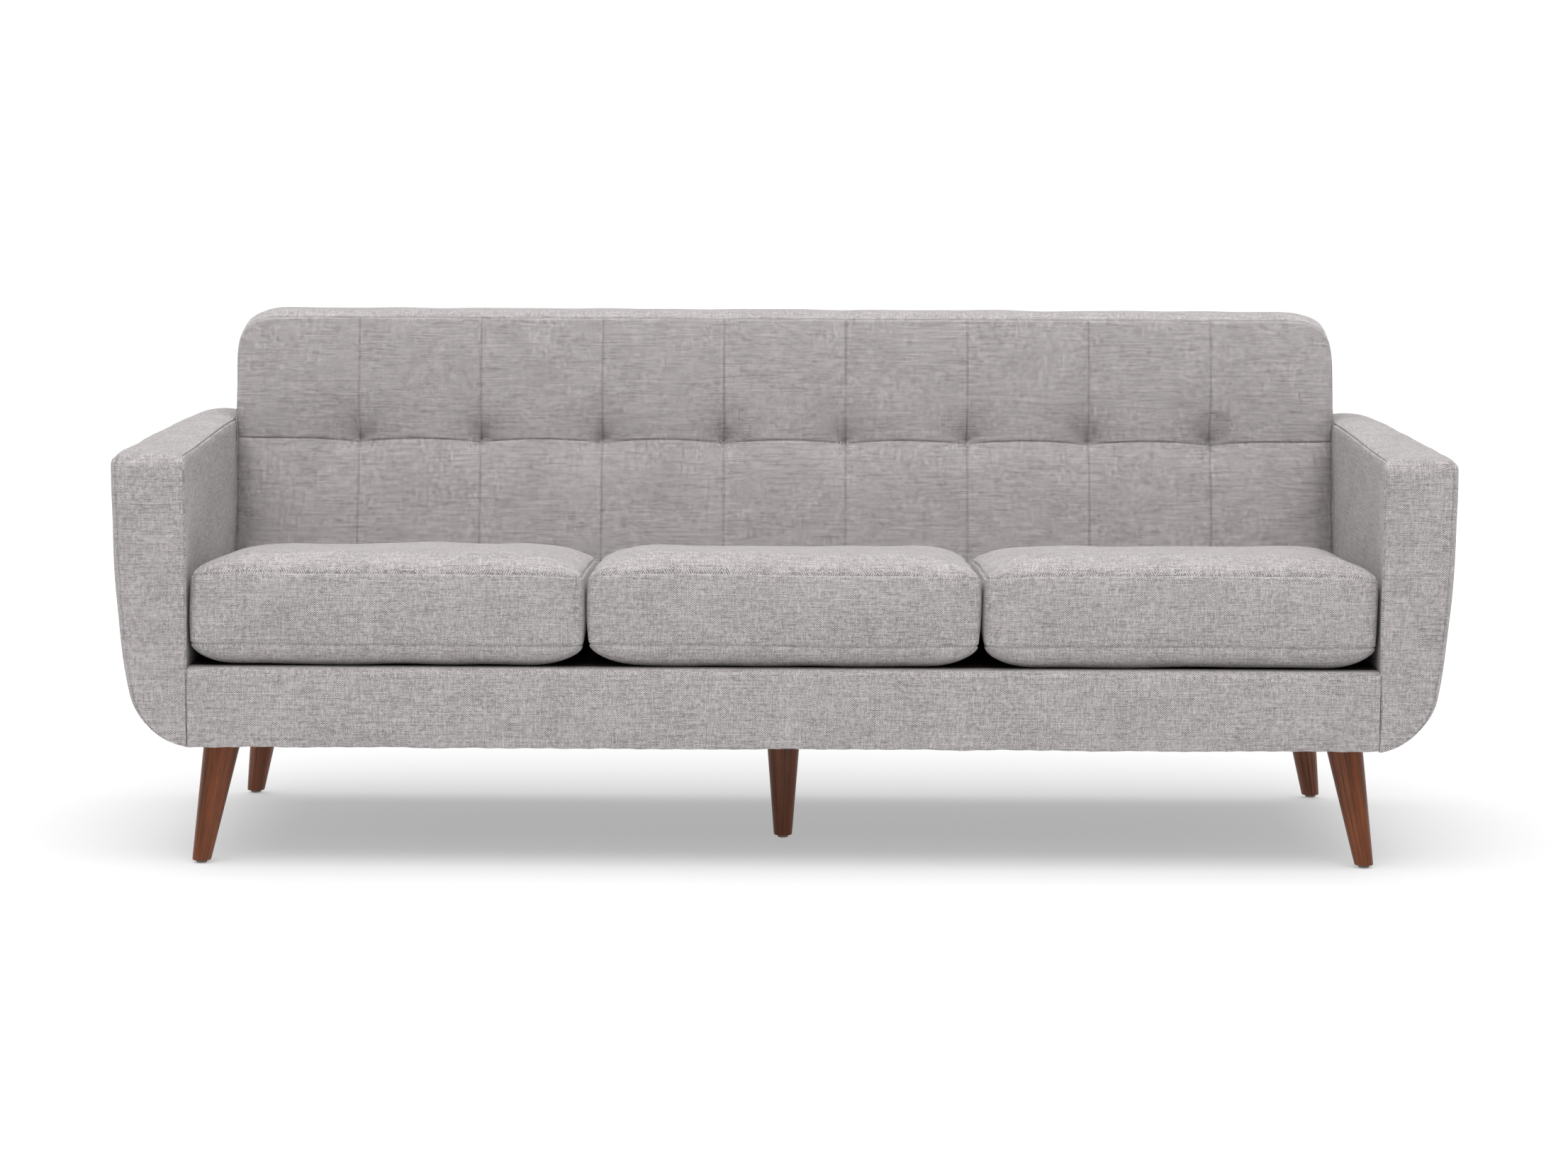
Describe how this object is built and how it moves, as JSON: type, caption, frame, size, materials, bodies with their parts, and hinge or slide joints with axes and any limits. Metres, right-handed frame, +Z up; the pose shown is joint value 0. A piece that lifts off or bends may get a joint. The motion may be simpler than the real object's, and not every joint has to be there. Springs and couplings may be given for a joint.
{
  "type": "sofa with wooden legs",
  "caption": "Low-backed straight sofa with slim tapering arms, blind-tufted back, loose boxed seat cushions and splayed turned wooden legs.",
  "frame": {"origin": "on the floor, under the middle of the sofa's bounding box", "axes": "+Z up; the front faces -Y; +X runs along the seat towards the sitter's left"},
  "size_m": [2.14, 0.85, 0.86],
  "materials": {
    "grey_fabric": "matt herringbone weave",
    "foam": "open-cell foam with a fibre wrap",
    "frame_timber": "sawn, unfinished",
    "plywood": "sawn, unfinished",
    "stained_wood": "satin varnish over a reddish brown stain",
    "steel": "plain drawn wire and zinc plate",
    "webbing": "woven elastic",
    "deck_cloth": "matt woven cloth",
    "dust_cloth": "matt non-woven cloth",
    "nylon_glide": "moulded, smooth"
  },
  "bodies": {
    "frame": {"front_rail": "frame_timber", "rear_rail": "frame_timber", "centre_brace": "frame_timber", "back_top_rail": "frame_timber", "back_lower_rail": "frame_timber", "side_rail_left": "frame_timber", "cross_brace_left": "frame_timber", "arm_top_rail_left": "frame_timber", "back_post_left": "frame_timber", "back_slat_left": "frame_timber", "arm_front_panel_left": "plywood", "arm_rear_panel_left": "plywood", "arm_padding_left": "foam", "arm_cover_left": "grey_fabric", "side_rail_right": "frame_timber", "cross_brace_right": "frame_timber", "arm_top_rail_right": "frame_timber", "back_post_right": "frame_timber", "back_slat_right": "frame_timber", "arm_front_panel_right": "plywood", "arm_rear_panel_right": "plywood", "arm_padding_right": "foam", "arm_cover_right": "grey_fabric", "corner_block_front_left": "frame_timber", "corner_block_front_right": "frame_timber", "corner_block_rear_left": "frame_timber", "corner_block_rear_right": "frame_timber", "leg_front_left": "stained_wood", "glide_front_left": "nylon_glide", "hanger_bolt_front_left": "steel", "leg_front_right": "stained_wood", "glide_front_right": "nylon_glide", "hanger_bolt_front_right": "steel", "leg_rear_left": "stained_wood", "glide_rear_left": "nylon_glide", "hanger_bolt_rear_left": "steel", "leg_rear_right": "stained_wood", "glide_rear_right": "nylon_glide", "hanger_bolt_rear_right": "steel", "leg_centre": "stained_wood", "glide_centre": "nylon_glide", "hanger_bolt_centre": "steel", "seat_springs_left": "steel", "seat_springs_middle": "steel", "seat_springs_right": "steel", "back_web_lower": "webbing", "back_web_middle": "webbing", "back_web_upper": "webbing", "back_foam": "foam", "back_cover": "grey_fabric", "outside_back_panel": "grey_fabric", "front_border_cover": "grey_fabric", "seat_deck": "deck_cloth", "dust_cover": "dust_cloth"},
    "seat_cushion_left": {"seat_cushion_cover_left": "grey_fabric", "seat_cushion_core_left": "foam"},
    "seat_cushion_middle": {"seat_cushion_cover_middle": "grey_fabric", "seat_cushion_core_middle": "foam"},
    "seat_cushion_right": {"seat_cushion_cover_right": "grey_fabric", "seat_cushion_core_right": "foam"}
  },
  "joints": [
    {"name": "lift_off_left", "type": "slide", "parent": "frame", "child": "seat_cushion_left", "axis": [0, 0, 1], "range_m": [0, 0.38]},
    {"name": "lift_off_middle", "type": "slide", "parent": "frame", "child": "seat_cushion_middle", "axis": [0, 0, 1], "range_m": [0, 0.38]},
    {"name": "lift_off_right", "type": "slide", "parent": "frame", "child": "seat_cushion_right", "axis": [0, 0, 1], "range_m": [0, 0.38]}
  ]
}
